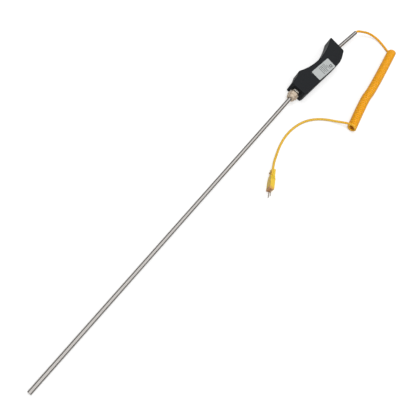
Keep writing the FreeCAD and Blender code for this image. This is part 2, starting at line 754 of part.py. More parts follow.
# ---------------------------------------------------------------------------------------------
# Rear outlet: guide tube, collars, the lead inside, its tie, cores and splices
# ---------------------------------------------------------------------------------------------
def build_outlet():
    inside = mm("tube_inside")
    tube = ring("tube", "stem_diameter / 2", "stem_diameter / 2 - tube_wall",
                "tube_inside + tube_exposed", V(-inside, 0, 0), ALONG_X, OUTLET)
    keep(tube, "lead_guide_tube")

    front = -mm("rear_cradle_at") + mm("seat_gap")
    rear = -mm("rear_cradle_at") - mm("cradle_thickness") - mm("collar_width") - mm("seat_gap")
    collars = [ring(f"collar_{name}", "collar_diameter / 2", "stem_diameter / 2 + seat_gap",
                    "collar_width", V(at, 0, 0), ALONG_X, OUTLET)
               for name, at in (("outer", front), ("inner", rear))]
    keep(fuse("collar_pair", collars), "guide_tube_collars")

    start = -mm("lead_inside")
    lead = rod("lead_in_tube", "lead_diameter / 2", "lead_inside + tube_exposed",
               V(start, 0, 0), ALONG_X, OUTLET)
    keep(lead, "cord_inner_lead")

    tie_at = -inside - mm("tie_width") - mm("tie_gap")
    strap = rod("tie_strap", "lead_diameter / 2 + tie_thickness", "tie_width",
                V(tie_at, 0, 0), ALONG_X, OUTLET)
    buckle_at = V(tie_at, -mm("lead_diameter") / 2 - mm("tie_head"), -mm("tie_head") / 2)
    head = block("tie_buckle", "tie_width", "tie_head", "tie_head", buckle_at, OUTLET)
    bore = rod("tie_bore", "lead_diameter / 2 + seat_gap", "tie_width", V(tie_at, 0, 0), ALONG_X, OUTLET)
    keep(cut("tie_cut", fuse("tie_blank", [strap, head]), [bore]), "lead_tie")

    splice_front = -mm("sheath_inside") - mm("splice_gap")
    splice_back = splice_front - mm("splice_length")
    splices = [ring(f"splice_{side}", "splice_diameter / 2", "splice_bore / 2", "splice_length",
                    V(splice_back, offset, 0)) for side, offset in wire_sides()]
    keep(fuse("splice_pair", splices), "wire_splices")

    # Each core runs straight from the lead's inner end into its splice.
    lead_end = OUTLET.multVec(V(start, 0, 0))
    cores = []
    for side, offset in wire_sides():
        begin = V(lead_end.x, lead_end.y + 0.75 * offset, 0)
        finish = V(splice_back + mm("splice_length") / 3, offset, 0)
        core = doc.addObject("Part::Cylinder", f"core_{side}")
        core.setExpression("Radius", tie("core_diameter / 2"))
        core.Height = (finish - begin).Length
        core.Placement = FreeCAD.Placement(begin, FreeCAD.Rotation(V(0, 0, 1), finish - begin))
        cores.append(core)
    trimmer = rod("core_trimmer", "lead_diameter / 2 + overshoot", "trimmer_length",
                  V(start, 0, 0), ALONG_X, OUTLET)
    keep(cut("core_pair", fuse("core_blanks", cores), [trimmer]), "cord_cores")


# ---------------------------------------------------------------------------------------------
# Plug: base, lid, blades, terminal screws, lid screw, cable clamp
# ---------------------------------------------------------------------------------------------
def plug_corners():
    """Plan outline of the plug's body, in the plug frame."""
    back, front = mm("clamp_length"), mm("clamp_length") + mm("plug_length")
    narrow, wide, radius = mm("plug_neck") / 2, mm("plug_width") / 2, mm("plug_round")
    taper = back + mm("plug_taper")
    return [
        (back, -narrow, radius), (taper, -wide, 2 * radius), (front, -wide, radius),
        (front, wide, radius), (taper, wide, 2 * radius), (back, narrow, radius),
    ]


def plug_front():
    """X of the plug's front face in the plug frame."""
    return mm("clamp_length") + mm("plug_length")


def plug_cavity(name, at, depth):
    """Room for the terminals, as a cutting body that stops short of the solid nose."""
    nose = plug_front() - mm("nose_length")
    wide = mm("plug_width") / 2 - mm("plug_wall")
    narrow = mm("plug_neck") / 2 - mm("plug_wall")
    back = mm("clamp_length") + mm("plug_wall")
    taper = mm("clamp_length") + mm("plug_taper")
    radius = mm("plug_round") / 2
    corners = [(back, -narrow, radius), (taper, -wide, radius), (nose, -wide, radius),
               (nose, wide, radius), (taper, wide, radius), (back, narrow, radius)]
    return outline_body(name, corners, depth, at)


def blade_lines():
    """The two blades, as (name, width size, middle across the plug)."""
    half = mm("blade_pitch") / 2
    return [("positive", "blade_narrow", half), ("negative", "blade_wide", -half)]


def blade_block(name, width, middle, margin):
    """Blade, or with a margin the slot that it sits in."""
    back = plug_front() - mm("blade_inside")
    low = -mm("blade_thickness") / 2 - margin
    return block(name, f"blade_inside + blade_length + {margin}",
                 f"{width} + 2 * {margin}", f"blade_thickness + 2 * {margin}",
                 V(back - margin, middle - mm(width) / 2 - margin, low))


def build_plug():
    gap = mm("seat_gap")
    half_thickness = mm("plug_thickness") / 2
    front = plug_front()
    lid_at = V(front - mm("lid_screw_back"), 0, 0)
    terminal_at = front - mm("terminal_back")
    lead_end = mm("clamp_length") + mm("plug_wall") + mm("lead_in_plug")
    past = mm("overshoot")

    # Base: body below the joint, a tongue that carries the clamp, seats under the blades.
    base_body = outline_body("base", plug_corners(), "plug_thickness / 2 + plug_split",
                             "-plug_thickness / 2")
    fillet_edges(base_body, "base_edge",
                 lambda edge: edge.BoundBox.ZMax < -half_thickness + 1e-6, "plug_round / 2")
    tongue = block("base_tongue", "clamp_length + overshoot", "clamp_width",
                   "plug_thickness / 2 - tongue_step - tongue_drop",
                   V(0, -mm("clamp_width") / 2, -half_thickness + mm("tongue_step")))
    cavity = plug_cavity("base_cavity", "-plug_thickness / 2 + plug_face",
                         "plug_thickness / 2 + plug_split")
    hollow = cut("base_hollow", base_body, [cavity])
    seat_top = -mm("blade_thickness") / 2 - gap
    floor = -half_thickness + mm("plug_face")
    seat_low = floor - mm("seat_bite")
    seats = []
    for side, width, middle in blade_lines():
        seats.append(block(f"base_seat_{side}", "blade_inside - nose_length + seat_margin",
                           f"{width} + 2 * seat_margin",
                           "plug_thickness / 2 - plug_face + seat_bite - blade_thickness / 2 - seat_gap",
                           V(front - mm("blade_inside"),
                             middle - mm(width) / 2 - mm("seat_margin"), seat_low)))
    channel = "clamp_length + plug_wall + lead_in_plug + overshoot"
    tools = [rod("base_channel", "lead_diameter / 2 + seat_gap", channel, V(-past, 0, 0))]
    tools += [blade_block(f"base_slot_{side}", width, middle, gap)
              for side, width, middle in blade_lines()]
    tools += [rod(f"base_terminal_{side}", "terminal_shank / 2 + seat_gap",
                  "plug_thickness / 2 - plug_face - blade_thickness / 2 + seat_bite",
                  V(terminal_at, middle, floor), UPRIGHT)
              for side, _, middle in blade_lines()]
    tools.append(rod("base_lid_thread", "lid_screw_shank / 2 + seat_gap", "plug_thickness",
                     V(lid_at.x, 0, floor), UPRIGHT))
    tools += [rod(f"base_clamp_hole_{i}", "clamp_screw_shank / 2 + seat_gap", "plug_thickness",
                  V(mm("clamp_length") / 2, y, -half_thickness + mm("clamp_screw_floor")), UPRIGHT)
              for i, y in enumerate(clamp_screw_rows())]
    keep(cut("base_cut", fuse("base_filled", [hollow, tongue, *seats]), tools), "plug_base", PLUG)

    # Lid: above the joint, hollow over the terminals, with a sunk screw.
    lid_body = outline_body("lid", plug_corners(), "plug_thickness / 2 - plug_split", "plug_split")
    fillet_edges(lid_body, "lid_edge",
                 lambda edge: edge.BoundBox.ZMin > half_thickness - 1e-6, "plug_round / 2")
    lid_tools = [
        plug_cavity("lid_cavity", "plug_split", "plug_thickness / 2 - plug_split - plug_face"),
        rod("lid_channel", "lead_diameter / 2 + seat_gap", channel, V(-past, 0, 0)),
        rod("lid_screw_hole", "lid_screw_shank / 2 + 2 * seat_gap", "plug_thickness",
            V(lid_at.x, 0, 0), UPRIGHT),
        rod("lid_screw_sink", "lid_screw_head / 2 + 2 * seat_gap", "lid_screw_height + overshoot",
            V(lid_at.x, 0, half_thickness - mm("lid_screw_height")), UPRIGHT),
    ]
    keep(cut("lid_cut", lid_body, lid_tools), "plug_lid", PLUG)

    for side, width, middle in blade_lines():
        blade = blade_block(f"blade_{side}", width, middle, 0)
        hole = rod(f"blade_hole_{side}", "terminal_shank / 2 + seat_gap", "4 * blade_thickness",
                   V(terminal_at, middle, -2 * mm("blade_thickness")), UPRIGHT)
        keep(cut(f"blade_cut_{side}", blade, [hole]), f"plug_blade_{side}", PLUG)

    # Terminal screws clamp the cores on the blades; the heads stand one core above them.
    top = mm("blade_thickness") / 2 + mm("core_diameter") + gap
    screws = []
    for side, _, middle in blade_lines():
        head = rod(f"terminal_head_{side}", "terminal_head / 2", "terminal_height",
                   V(terminal_at, middle, top), UPRIGHT)
        shank = rod(f"terminal_shank_{side}", "terminal_shank / 2",
                    "plug_thickness / 2 - plug_face + blade_thickness / 2 + core_diameter - seat_gap",
                    V(terminal_at, middle, floor + 2 * gap), UPRIGHT)
        slot = block(f"terminal_slot_{side}", "terminal_head", "small_slot", "terminal_height",
                     V(terminal_at - mm("terminal_head") / 2, middle - mm("small_slot") / 2,
                       top + mm("terminal_height") / 2))
        screws.append(cut(f"terminal_{side}", fuse(f"terminal_blank_{side}", [head, shank]), [slot]))
    keep(fuse("terminal_pair", screws), "plug_terminal_screws", PLUG)

    head_low = half_thickness - mm("lid_screw_height")
    lid_head = rod("lid_screw_top", "lid_screw_head / 2", "lid_screw_height - lid_screw_recess",
                   V(lid_at.x, 0, head_low), UPRIGHT)
    lid_shank = rod("lid_screw_body", "lid_screw_shank / 2",
                    "plug_thickness - plug_face - lid_screw_height",
                    V(lid_at.x, 0, floor + 4 * gap), UPRIGHT)
    slot_floor = half_thickness - mm("lid_screw_recess") - mm("lid_slot_depth")
    lid_slot = block("lid_screw_slot", "lid_screw_head", "lid_slot_width", "overshoot",
                     V(lid_at.x - mm("lid_screw_head") / 2, -mm("lid_slot_width") / 2, slot_floor))
    keep(cut("lid_screw", fuse("lid_screw_blank", [lid_head, lid_shank]), [lid_slot]),
         "plug_lid_screw", PLUG)

    build_clamp()
    build_plug_cores(lead_end, terminal_at)


def clamp_screw_rows():
    """Y of the two clamp screws in the plug frame."""
    return [-mm("clamp_screw_pitch") / 2, mm("clamp_screw_pitch") / 2]


def build_clamp():
    """Saddle over the lead and its two screws."""
    half_width = mm("clamp_width") / 2
    saddle = outline_body("saddle", rectangle(
        0, mm("clamp_length") - mm("saddle_setback"), -half_width, half_width, mm("saddle_round"),
    ), "clamp_thickness", "seat_gap")
    fillet_edges(saddle, "saddle_edge",
                 lambda edge: edge.BoundBox.ZMin > mm("clamp_thickness") + mm("seat_gap") - 1e-6,
                 "saddle_edge_round")
    tools = [rod("saddle_channel", "lead_diameter / 2 + seat_gap", "clamp_length + 2 * overshoot",
                 V(-mm("overshoot"), 0, 0))]
    tools += [rod(f"saddle_hole_{i}", "clamp_screw_shank / 2 + seat_gap", "2 * clamp_thickness",
                  V(mm("clamp_length") / 2, y, -mm("overshoot")), UPRIGHT)
              for i, y in enumerate(clamp_screw_rows())]
    keep(cut("saddle_cut", saddle, tools), "plug_cable_clamp", PLUG)

    screws = []
    top = mm("clamp_thickness") + 2 * mm("seat_gap")
    low = -mm("plug_thickness") / 2 + mm("clamp_screw_floor") + 2 * mm("seat_gap")
    slot_floor = top + mm("clamp_screw_height") - mm("clamp_slot_depth")
    middle = mm("clamp_length") / 2
    for i, y in enumerate(clamp_screw_rows()):
        head = rod(f"clamp_head_{i}", "clamp_screw_head / 2", "clamp_screw_height",
                   V(middle, y, top), UPRIGHT)
        shank = rod(f"clamp_shank_{i}", "clamp_screw_shank / 2",
                    "plug_thickness / 2 - clamp_screw_floor + clamp_thickness + clamp_screw_bite",
                    V(middle, y, low), UPRIGHT)
        slot = block(f"clamp_slot_{i}", "clamp_screw_head", "small_slot", "overshoot",
                     V(middle - mm("clamp_screw_head") / 2, y - mm("small_slot") / 2, slot_floor))
        screws.append(cut(f"clamp_screw_{i}", fuse(f"clamp_blank_{i}", [head, shank]), [slot]))
    keep(fuse("clamp_screw_pair", screws), "plug_clamp_screws", PLUG)


def build_plug_cores(start, terminal_at):
    """Two cores from the lead's end to the inner sides of the terminal screws."""
    height = mm("blade_thickness") / 2 + mm("core_diameter") / 2 + mm("seat_gap") / 2
    inner = mm("blade_pitch") / 2 - mm("terminal_shank") / 2 - mm("core_diameter") / 2 - mm("seat_gap")
    cores = []
    for side, sign in (("positive", 1), ("negative", -1)):
        begin = V(start, sign * mm("core_spread"), height)
        finish = V(terminal_at + mm("core_overrun"), sign * inner, height)
        core = doc.addObject("Part::Cylinder", f"plug_core_{side}")
        core.setExpression("Radius", tie("core_diameter / 2"))
        core.Height = (finish - begin).Length
        core.Placement = FreeCAD.Placement(begin, FreeCAD.Rotation(V(0, 0, 1), finish - begin))
        cores.append(core)
    trimmer = rod("plug_core_trimmer", "lead_diameter", "trimmer_length",
                  V(start - mm("trimmer_length"), 0, 0))
    keep(cut("plug_core_pair", fuse("plug_core_blanks", cores), [trimmer]), "plug_cores", PLUG)


# ---------------------------------------------------------------------------------------------
# Free lead: plain tubes along hand-chosen routes on the table, and the coil's outer shape
# ---------------------------------------------------------------------------------------------
MOUTH = LYING.multiply(OUTLET).multVec(V(mm("tube_exposed"), 0, 0))
CLEAR_OF_MOUTH = LYING.multiply(OUTLET).multVec(V(mm("tube_exposed") + mm("mouth_straight"), 0, 0))
PLUG_LEAD_END = PLUG.multVec(V(mm("clamp_length") + mm("plug_wall") + mm("lead_in_plug"), 0, 0))

UPPER_ROUTE = [
    MOUTH, CLEAR_OF_MOUTH, V(-438.5, 19.5, 14.8), V(-447.5, 30.0, 11.2), V(-453.2, 42.5, 7.0),
    V(-455.6, 56.0, 3.4), V(-453.5, 69.0, 2.1), V(-450.0, 79.0, 2.1), V(-447.3, 86.0, 2.1),
]
COIL_ROUTE = [
    V(-446.5, 88.2, 8.5), V(-395.0, 95.9, 8.5), V(-333.0, 103.6, 8.5), V(-312.0, 102.6, 8.5),
    V(-240.0, 116.6, 8.5),
]
LOWER_ROUTE = [
    V(-242.6, 115.6, 14.9), V(-241.6, 106.5, 13.4), V(-238.8, 98.5, 9.6), V(-233.5, 89.0, 5.6),
    V(-227.0, 78.3, 2.9), V(-218.0, 66.8, 2.1), V(-205.5, 55.6, 2.1), V(-190.0, 46.0, 2.1),
    V(-172.0, 39.7, 2.1), V(-152.0, 36.5, 2.1), V(-132.0, 36.8, 2.1), V(-113.0, 40.4, 2.1),
    V(-98.0, 44.8, 3.2), V(-85.5, 48.0, 6.6), V(-75.8, 51.2, 8.15), PLUG_LEAD_END,
]
ARC_SHARE = 0.45                # share of the shorter run that each bend may use


def route_wire(points):
    """Straight runs joined by tangent arcs, each as large as its two runs allow."""
    edges, radii = [], []
    start = points[0]
    for last, here, following in zip(points, points[1:], points[2:]):
        incoming, outgoing = here - last, following - here
        half_turn = incoming.getAngle(outgoing) / 2
        radius = ARC_SHARE * min(incoming.Length, outgoing.Length) / math.tan(half_turn)
        reach = radius * math.tan(half_turn)
        to_last, to_next = (last - here).normalize(), (following - here).normalize()
        first, final = here + to_last * reach, here + to_next * reach
        crown_height = radius / math.cos(half_turn) - radius
        crown = here + (to_last + to_next).normalize() * crown_height
        edges += [Part.LineSegment(start, first).toShape(), Part.Arc(first, crown, final).toShape()]
        radii.append(round(radius, 1))
        start = final
    edges.append(Part.LineSegment(start, points[-1]).toShape())
    return Part.Wire(edges), radii


def build_route(label, points, diameter):
    """Tube of one diameter along a route, as a plain solid in the part's own frame."""
    wire, radii = route_wire(points)
    section = Part.Circle(points[0], points[1] - points[0], diameter / 2).toShape()
    solid = wire.makePipeShell([Part.Wire(section)], True, False)
    piece = doc.addObject("Part::Feature", label)
    piece.Shape = solid
    piece.Label = label
    nodes.append(piece)
    ideal = math.pi * diameter ** 2 / 4 * wire.Length
    print(f"{label}: length {wire.Length:.1f}, bend radii {radii}, volume ratio {solid.Volume / ideal:.4f}")


def build_lead():
    build_route("cord_upper_lead", UPPER_ROUTE, mm("lead_diameter"))
    build_route("cord_coil", COIL_ROUTE, mm("coil_diameter"))
    build_route("cord_lower_lead", LOWER_ROUTE, mm("lead_diameter"))


# ---------------------------------------------------------------------------------------------
# Build, check and write
# ---------------------------------------------------------------------------------------------
def check_and_write():
    """Stops on any failed object or invalid shape, then writes one STEP file per sub-part."""
    doc.recompute()
    for item in doc.Objects:
        if "Invalid" in item.State or "Error" in item.State:
            raise RuntimeError(f"{item.Label} failed: {item.State}")
    os.makedirs("parts", exist_ok=True)
    for piece in nodes:
        shape = piece.Shape
        if shape.isNull() or not shape.isValid() or not shape.Solids:
            raise RuntimeError(f"{piece.Label} has no valid solid")
        shape.exportStep(f"parts/{piece.Label}.step")
        print(f"{piece.Label}: {len(shape.Solids)} solid(s), {shape.Volume:.1f} mm3")


build_stem()
build_gland()
build_grip()
build_outlet()
build_plug()
build_lead()
check_and_write()
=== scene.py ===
"""Soil thermometer probe: the looks of its stem, gland, grip, curly lead and plug."""

import json
import logging
import math
from dataclasses import dataclass
from enum import Enum

import bmesh
import bpy
from mathutils import Matrix, Vector

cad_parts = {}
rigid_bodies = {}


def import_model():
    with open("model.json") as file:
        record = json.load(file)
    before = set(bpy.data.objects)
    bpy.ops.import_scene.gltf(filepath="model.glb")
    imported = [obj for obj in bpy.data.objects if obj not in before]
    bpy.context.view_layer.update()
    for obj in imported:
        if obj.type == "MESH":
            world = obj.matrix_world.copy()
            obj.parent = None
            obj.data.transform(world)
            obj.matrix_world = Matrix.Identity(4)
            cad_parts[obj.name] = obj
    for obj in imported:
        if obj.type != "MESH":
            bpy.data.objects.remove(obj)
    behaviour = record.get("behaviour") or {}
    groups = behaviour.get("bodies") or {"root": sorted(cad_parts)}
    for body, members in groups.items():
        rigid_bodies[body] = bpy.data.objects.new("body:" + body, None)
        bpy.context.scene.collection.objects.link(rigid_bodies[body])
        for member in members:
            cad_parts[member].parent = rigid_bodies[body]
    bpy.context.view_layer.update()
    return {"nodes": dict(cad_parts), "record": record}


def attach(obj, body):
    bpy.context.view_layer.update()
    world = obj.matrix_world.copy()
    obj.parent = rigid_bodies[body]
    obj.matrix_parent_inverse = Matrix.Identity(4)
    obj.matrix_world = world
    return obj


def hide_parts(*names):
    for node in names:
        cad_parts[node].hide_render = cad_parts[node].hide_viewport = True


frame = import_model()

LOG = logging.getLogger("soil_probe")
MM = 0.001
SENSOR = 36.0                   # camera sensor's width, in millimetres
COLOUR_A, COLOUR_B, MIXED_COLOUR = 6, 7, 2      # sockets of a Mix node set to colour
FLOAT_A, FLOAT_B, MIXED_FLOAT = 2, 3, 0         # sockets of a Mix node set to float

Colour = tuple[float, float, float]
Point = tuple[float, float, float]


def linear(red: int, green: int, blue: int) -> Colour:
    """Turns an 8-bit display colour into the linear colour that shaders take.

    Args:
        red: Red from 0 to 255.
        green: Green from 0 to 255.
        blue: Blue from 0 to 255.

    Returns:
        The linear colour.
    """
    def channel(value: int) -> float:
        """Linear value of one channel."""
        share = value / 255
        return share / 12.92 if share <= 0.04045 else ((share + 0.055) / 1.055) ** 2.4

    return channel(red), channel(green), channel(blue)


class Body(Enum):
    """CAD bodies that the made pieces ride on."""

    PROBE = "probe"


class TreeKind(Enum):
    """Kinds of node tree."""

    SHADER = "ShaderNodeTree"
    GEOMETRY = "GeometryNodeTree"


# --------------------------------------------------------------------------------------------
# Shared node trees
# --------------------------------------------------------------------------------------------
class SharedTree:
    """Node tree that is built once and used wherever its effect is needed.

    Attributes:
        name: Name of the tree.
        kind: Kind of the tree.
    """

    name = "shared_tree"
    kind = TreeKind.SHADER

    def tree(self) -> bpy.types.NodeTree:
        """Returns the tree, building it once."""
        found = bpy.data.node_groups.get(self.name)
        if found:
            return found
        made = bpy.data.node_groups.new(self.name, self.kind.value)
        self.fill(made)
        return made

    def fill(self, tree: bpy.types.NodeTree) -> None:
        """Adds the tree's named sockets and its nodes.

        Args:
            tree: The empty tree.
        """
        raise NotImplementedError


class GrainGroup(SharedTree):
    """Shader group: grain that varies colour, roughness and height over a surface."""

    name = "surface_grain"
    floats = {"Scale": 400.0, "Detail": 3.0, "Rough Low": 0.3, "Rough High": 0.5,
              "Depth": 0.00005}

    def fill(self, tree: bpy.types.NodeTree) -> None:
        """Adds the group's named sockets and its nodes."""
        face = tree.interface
        face.new_socket("Vector", in_out="INPUT", socket_type="NodeSocketVector")
        face.new_socket("Dark", in_out="INPUT", socket_type="NodeSocketColor")
        face.new_socket("Light", in_out="INPUT", socket_type="NodeSocketColor")
        for label, value in self.floats.items():
            socket = face.new_socket(label, in_out="INPUT", socket_type="NodeSocketFloat")
            socket.default_value = value
        face.new_socket("Colour", in_out="OUTPUT", socket_type="NodeSocketColor")
        face.new_socket("Roughness", in_out="OUTPUT", socket_type="NodeSocketFloat")
        face.new_socket("Normal", in_out="OUTPUT", socket_type="NodeSocketVector")
        nodes, links = tree.nodes, tree.links
        entry, leave = nodes.new("NodeGroupInput"), nodes.new("NodeGroupOutput")
        noise = nodes.new("ShaderNodeTexNoise")
        mix = nodes.new("ShaderNodeMix")
        mix.data_type = "RGBA"
        spread = nodes.new("ShaderNodeMapRange")
        bump = nodes.new("ShaderNodeBump")
        bump.inputs["Strength"].default_value = 1.0
        links.new(entry.outputs["Vector"], noise.inputs["Vector"])
        links.new(entry.outputs["Scale"], noise.inputs["Scale"])
        links.new(entry.outputs["Detail"], noise.inputs["Detail"])
        links.new(noise.outputs["Fac"], mix.inputs["Factor"])
        links.new(entry.outputs["Dark"], mix.inputs[COLOUR_A])
        links.new(entry.outputs["Light"], mix.inputs[COLOUR_B])
        links.new(noise.outputs["Fac"], spread.inputs["Value"])
        links.new(entry.outputs["Rough Low"], spread.inputs["To Min"])
        links.new(entry.outputs["Rough High"], spread.inputs["To Max"])
        links.new(noise.outputs["Fac"], bump.inputs["Height"])
        links.new(entry.outputs["Depth"], bump.inputs["Distance"])
        links.new(mix.outputs[MIXED_COLOUR], leave.inputs["Colour"])
        links.new(spread.outputs["Result"], leave.inputs["Roughness"])
        links.new(bump.outputs["Normal"], leave.inputs["Normal"])


class BarGroup(SharedTree):
    """Shader group: mask of one straight bar in a plane's own coordinates."""

    name = "ruled_bar"
    floats = ("At", "Half Width", "From", "To")

    def fill(self, tree: bpy.types.NodeTree) -> None:
        """Adds the group's named sockets and its nodes."""
        face = tree.interface
        face.new_socket("Vector", in_out="INPUT", socket_type="NodeSocketVector")
        for label in self.floats:
            face.new_socket(label, in_out="INPUT", socket_type="NodeSocketFloat")
        face.new_socket("Mask", in_out="OUTPUT", socket_type="NodeSocketFloat")
        nodes, links = tree.nodes, tree.links
        entry, leave = nodes.new("NodeGroupInput"), nodes.new("NodeGroupOutput")
        parts = nodes.new("ShaderNodeSeparateXYZ")
        links.new(entry.outputs["Vector"], parts.inputs["Vector"])

        def step(operation: str, first: bpy.types.NodeSocket,
                 second: bpy.types.NodeSocket | None = None) -> bpy.types.NodeSocket:
            """Adds one step of arithmetic and returns its result."""
            node = nodes.new("ShaderNodeMath")
            node.operation = operation
            links.new(first, node.inputs[0])
            if second:
                links.new(second, node.inputs[1])
            return node.outputs[0]

        off = step("ABSOLUTE", step("SUBTRACT", parts.outputs["X"], entry.outputs["At"]))
        near = step("LESS_THAN", off, entry.outputs["Half Width"])
        after = step("GREATER_THAN", parts.outputs["Y"], entry.outputs["From"])
        before = step("LESS_THAN", parts.outputs["Y"], entry.outputs["To"])
        within = step("MULTIPLY", after, before)
        links.new(step("MULTIPLY", near, within), leave.inputs["Mask"])


@dataclass(frozen=True)
class Finish:
    """One surface finish, with grain from the shared group.

    Attributes:
        name: Name of the material.
        dark: Colour in the grain's low places.
        light: Colour in its high places.
        metallic: 1 for bare metal.
        rough: Lowest and highest roughness.
        scale: Grain size, as noise scale per metre.
        depth: Grain height, in metres.
        stretch: How much denser the grain is along each axis.
        coat: Weight of a clear gloss layer.
        specular: Strength of the surface's own gloss.
    """

    name: str
    dark: Colour
    light: Colour
    metallic: float = 0.0
    rough: tuple[float, float] = (0.35, 0.5)
    scale: float = 400.0
    depth: float = 0.00003
    stretch: Point = (1.0, 1.0, 1.0)
    coat: float = 0.0
    specular: float = 0.5

    def material(self) -> bpy.types.Material:
        """Returns the material, building it once."""
        label = f"{self.name}_finish"       # the plain names are already taken by the CAD's own
        found = bpy.data.materials.get(label)
        if found:
            return found
        made = bpy.data.materials.new(label)
        made.use_nodes = True
        nodes, links = made.node_tree.nodes, made.node_tree.links
        shader = nodes["Principled BSDF"]
        shader.inputs["Metallic"].default_value = self.metallic
        shader.inputs["Coat Weight"].default_value = self.coat
        shader.inputs["Specular IOR Level"].default_value = self.specular
        place = nodes.new("ShaderNodeTexCoord")
        mapping = nodes.new("ShaderNodeMapping")
        mapping.inputs["Scale"].default_value = self.stretch
        grain = nodes.new("ShaderNodeGroup")
        grain.node_tree = GrainGroup().tree()
        grain.inputs["Dark"].default_value = (*self.dark, 1)
        grain.inputs["Light"].default_value = (*self.light, 1)
        grain.inputs["Scale"].default_value = self.scale
        grain.inputs["Rough Low"].default_value = self.rough[0]
        grain.inputs["Rough High"].default_value = self.rough[1]
        grain.inputs["Depth"].default_value = self.depth
        links.new(place.outputs["Object"], mapping.inputs["Vector"])
        links.new(mapping.outputs["Vector"], grain.inputs["Vector"])
        colour = self.coloured(nodes, links, place, grain.outputs["Colour"])
        links.new(colour, shader.inputs["Base Color"])
        links.new(grain.outputs["Roughness"], shader.inputs["Roughness"])
        links.new(grain.outputs["Normal"], shader.inputs["Normal"])
        return made

    def coloured(self, nodes: bpy.types.Nodes, links: bpy.types.NodeLinks,
                 place: bpy.types.Node, colour: bpy.types.NodeSocket) -> bpy.types.NodeSocket:
        """Adds what a special finish draws on the grain's colour.

        Args:
            nodes: The material's nodes.
            links: Its links.
            place: Its texture coordinates.
            colour: Socket of the grain's colour.

        Returns:
            The socket that gives the base colour.
        """
        return colour


@dataclass(frozen=True)
class FadingFinish(Finish):
    """Finish whose colour goes from one to another along X.

    Attributes:
        start: X where the fade begins, in metres.
        end: X where it ends.
        far: Colour at the end; on the plug it is painted shade on its front end face.
    """

    start: float = 0.0
    end: float = 1.0
    far: Colour = (1.0, 1.0, 1.0)

    def coloured(self, nodes: bpy.types.Nodes, links: bpy.types.NodeLinks,
                 place: bpy.types.Node, colour: bpy.types.NodeSocket) -> bpy.types.NodeSocket:
        """Returns the grain's colour, faded along X."""
        parts = nodes.new("ShaderNodeSeparateXYZ")
        share = nodes.new("ShaderNodeMapRange")
        share.inputs["From Min"].default_value = self.start
        share.inputs["From Max"].default_value = self.end
        mix = nodes.new("ShaderNodeMix")
        mix.data_type = "RGBA"
        mix.inputs[COLOUR_B].default_value = (*self.far, 1)
        links.new(place.outputs["Object"], parts.inputs["Vector"])
        links.new(parts.outputs["X"], share.inputs["Value"])
        links.new(share.outputs["Result"], mix.inputs["Factor"])
        links.new(colour, mix.inputs[COLOUR_A])
        return mix.outputs[MIXED_COLOUR]


@dataclass(frozen=True)
class BarredFinish(Finish):
    """Finish with straight bars drawn on it, in the coordinates of a placed plane.

    Attributes:
        ink: Colour of the bars.
        centre: Where the plane's origin is.
        turn: Turn of the plane from the part's own frame, in degrees about X, Y and Z.
        bars: For each bar, its place along X, half its width, and where it starts and ends
            along Y, in millimetres.
    """

    ink: Colour = (0.1, 0.1, 0.1)
    centre: Point = (0.0, 0.0, 0.0)
    turn: Point = (0.0, 0.0, 0.0)
    bars: tuple[tuple[float, float, float, float], ...] = ()

    def coloured(self, nodes: bpy.types.Nodes, links: bpy.types.NodeLinks,
                 place: bpy.types.Node, colour: bpy.types.NodeSocket) -> bpy.types.NodeSocket:
        """Returns the grain's colour with the bars over it."""
        plane = nodes.new("ShaderNodeMapping")
        plane.vector_type = "TEXTURE"
        plane.inputs["Location"].default_value = self.centre
        plane.inputs["Rotation"].default_value = tuple(map(math.radians, self.turn))
        links.new(place.outputs["Object"], plane.inputs["Vector"])
        for bar in self.bars:
            mask = nodes.new("ShaderNodeGroup")
            mask.node_tree = BarGroup().tree()
            for label, value in zip(BarGroup.floats, bar):
                mask.inputs[label].default_value = value * MM
            mix = nodes.new("ShaderNodeMix")
            mix.data_type = "RGBA"
            mix.inputs[COLOUR_B].default_value = (*self.ink, 1)
            links.new(plane.outputs["Vector"], mask.inputs["Vector"])
            links.new(mask.outputs["Mask"], mix.inputs["Factor"])
            links.new(colour, mix.inputs[COLOUR_A])
            colour = mix.outputs[MIXED_COLOUR]
        return colour


TILT = 0.81833                  # degrees that the grip's flat side is tilted, tip down
AXIS_HEIGHT = 0.012476          # height of the stem's axis at the grip's front wall
FRONT_WALL = -0.2148218         # X of the grip's front wall
WHOLE = 1000.0                  # bar limit that lies past any piece, in millimetres

STAINLESS = Finish("stainless", linear(178, 174, 170), linear(204, 200, 196), 1.0, (0.14, 0.24),
                   300.0, 0.000005, (6.0, 1.0, 1.0))
NICKEL = Finish("nickel", linear(182, 178, 170), linear(212, 208, 200), 1.0, (0.2, 0.34),
                500.0, 0.00001)
NUT_NICKEL = Finish("nut_nickel", linear(206, 188, 166), linear(226, 210, 190), 0.55, (0.5, 0.62),
                    260.0, 0.00001)
RING_BRASS = Finish("ring_brass", linear(176, 138, 70), linear(205, 168, 96), 1.0, (0.25, 0.4))
GRIP = BarredFinish("grip_plastic", linear(14, 17, 20), linear(22, 25, 29), 0.0, (0.34, 0.48),
                    1800.0, 0.00003, specular=0.22, ink=linear(6, 6, 7),
                    centre=(FRONT_WALL, 0.0, AXIS_HEIGHT), turn=(0.0, TILT - 90.0, 0.0),
                    bars=((0.0, 0.14, -WHOLE, WHOLE),))
LABEL_RULES = ((6.0, 0.5, -8, 8), (2.6, 0.45, -8, 5), (-0.6, 0.5, -8, 7), (-4.2, 0.5, -8, 8),
               (-7.6, 0.45, -8, 3), (-11.0, 0.4, -3, 7))
LABEL_BOX = ((-14.4, 0.7, 1.2, 6.4), (-19.2, 0.7, 1.2, 6.4), (-16.8, 2.4, 1.2, 2.4),
             (-16.8, 2.4, 5.2, 6.4))
